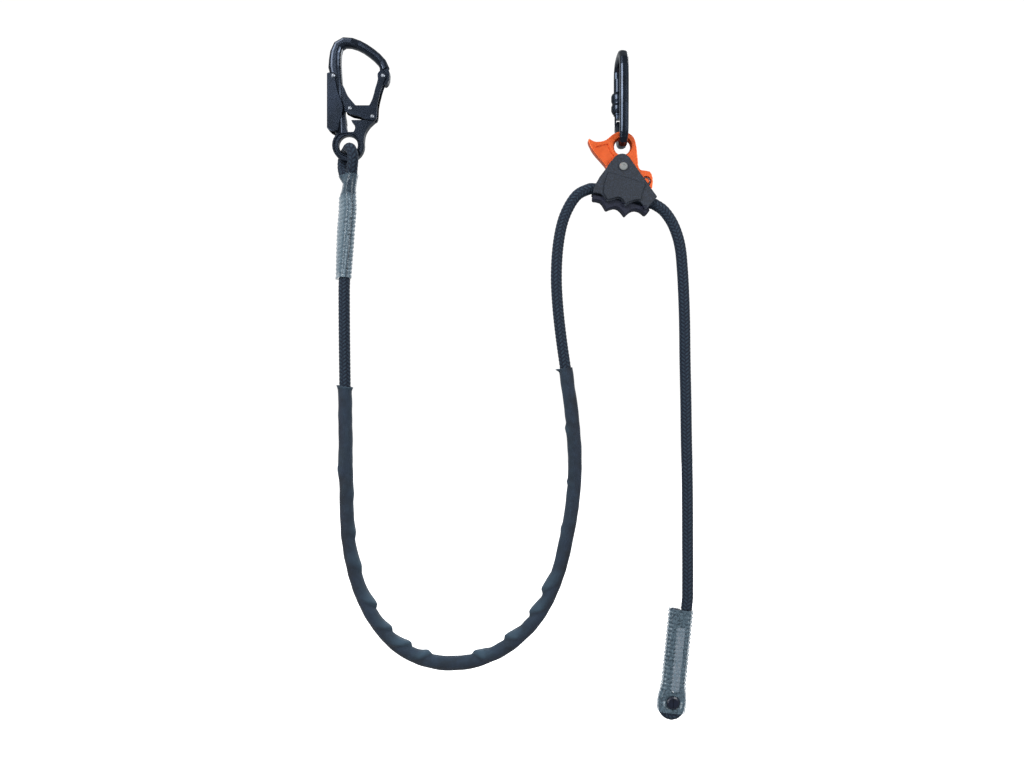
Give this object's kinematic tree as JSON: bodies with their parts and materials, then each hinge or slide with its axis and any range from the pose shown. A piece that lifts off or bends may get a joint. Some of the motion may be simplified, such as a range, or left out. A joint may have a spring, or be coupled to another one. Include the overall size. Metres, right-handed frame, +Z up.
{
  "type": "tree climbing lanyard",
  "caption": "Adjustable climbing lanyard: rope in a wear sleeve with a snap hook on a sewn eye, and a cam adjuster hanging from a locking carabiner.",
  "frame": {"origin": "the point inside the carabiner's upper bow that the lanyard hangs from", "axes": "+Z up, +X along the row from the snap hook to the adjuster, +Y away from the viewer"},
  "size_m": [0.4007, 0.0588, 0.7484],
  "materials": {
    "black_metal": "satin black anodised",
    "bare_steel": "bare steel",
    "bright_steel": "bright plated",
    "spring_steel": "drawn wire",
    "dark_plate": "matt dark grey coating",
    "grip_rubber": "moulded, matt",
    "orange_alloy": "orange anodised, satin",
    "rope": "braided sheath",
    "wear_fabric": "dense woven tube",
    "clear_tube": "clear shrunk tube",
    "thread": "heavy sewing thread",
    "black_rubber": "moulded, smooth",
    "label": "bare woven strip"
  },
  "bodies": {
    "carabiner": {"carabiner_body": "black_metal", "carabiner_gate_rivet": "bare_steel"},
    "carabiner_gate": {"carabiner_gate": "black_metal"},
    "sleeve_guide": {"carabiner_sleeve_guide": "bare_steel", "carabiner_sleeve_spring": "spring_steel"},
    "lock_sleeve": {"carabiner_lock_sleeve": "black_metal"},
    "cam": {"cam_lever": "orange_alloy", "cam_return_spring": "spring_steel"},
    "lanyard": {"adjuster_front_plate": "dark_plate", "adjuster_rear_plate": "dark_plate", "adjuster_front_grip_panel": "dark_plate", "adjuster_rear_grip_panel": "dark_plate", "adjuster_grip_block": "grip_rubber", "adjuster_grip_rivet_1": "black_metal", "adjuster_grip_rivet_2": "black_metal", "adjuster_grip_rivet_3": "black_metal", "cam_bolt": "bright_steel", "cam_bolt_nut": "bright_steel", "cam_bush": "bright_steel", "rope_hook_eye": "rope", "rope_long_stretch": "rope", "rope_in_adjuster": "rope", "rope_tail": "rope", "rope_tail_eye": "rope", "wear_sleeve": "wear_fabric", "hook_eye_clear_sleeve": "clear_tube", "tail_eye_clear_sleeve": "clear_tube", "hook_eye_stitching_front": "thread", "hook_eye_stitching_rear": "thread", "tail_eye_stitching_front": "thread", "tail_eye_stitching_rear": "thread", "tail_eye_plug": "black_rubber", "tail_eye_label": "label"},
    "snap_hook": {"snap_hook_body": "black_metal", "snap_hook_gate_hinge_rivet": "bare_steel", "snap_hook_gate_spring": "spring_steel", "snap_hook_lever_rivet": "bare_steel", "snap_hook_lever_spring": "spring_steel"},
    "snap_gate": {"snap_hook_gate": "black_metal", "snap_hook_gate_nose_rivet": "bare_steel", "snap_hook_gate_tail_rivet": "bare_steel"},
    "lock_lever": {"snap_hook_lock_lever": "black_metal"}
  },
  "joints": [
    {"name": "adjuster_swing", "type": "hinge", "parent": "carabiner", "child": "cam", "pos_m": [0, 0, -0.07905], "axis": [1, 0, 0], "range_deg": [-35, 35]},
    {"name": "cam_release", "type": "hinge", "parent": "cam", "child": "lanyard", "pos_m": [0, 0, -0.1207], "axis": [0, 1, 0], "range_deg": [0, 22]},
    {"name": "snap_hook_swing", "type": "hinge", "parent": "lanyard", "child": "snap_hook", "pos_m": [-0.3006, 0, -0.0956], "axis": [0, 1, 0], "range_deg": [-45, 45]},
    {"name": "snap_gate_open", "type": "hinge", "parent": "snap_hook", "child": "snap_gate", "pos_m": [-0.2735, 0, -0.0649], "axis": [0, -1, 0], "range_deg": [0, 32], "stiffness_Nm_per_rad": 0.15, "springref_deg": -17.19},
    {"name": "lock_lever_squeeze", "type": "hinge", "parent": "snap_hook", "child": "lock_lever", "pos_m": [-0.3158, 0, -0.0211], "axis": [0, -1, 0], "range_deg": [0, 5], "stiffness_Nm_per_rad": 0.15, "springref_deg": -17.19},
    {"name": "carabiner_gate_open", "type": "hinge", "parent": "carabiner", "child": "carabiner_gate", "pos_m": [0, 0.0305, -0.0625], "axis": [1, 0, 0], "range_deg": [0, 22], "stiffness_Nm_per_rad": 0.12, "springref_deg": -17.19},
    {"name": "sleeve_slide", "type": "slide", "parent": "carabiner_gate", "child": "sleeve_guide", "axis": [0, 0, -1], "range_m": [0, 0.004], "stiffness_N_per_m": 400, "springref_m": -0.004},
    {"name": "sleeve_twist", "type": "hinge", "parent": "sleeve_guide", "child": "lock_sleeve", "pos_m": [0, 0.0305, -0.03], "axis": [0, 0, 1], "range_deg": [0, 90], "stiffness_Nm_per_rad": 0.01, "springref_deg": -17.19}
  ]
}
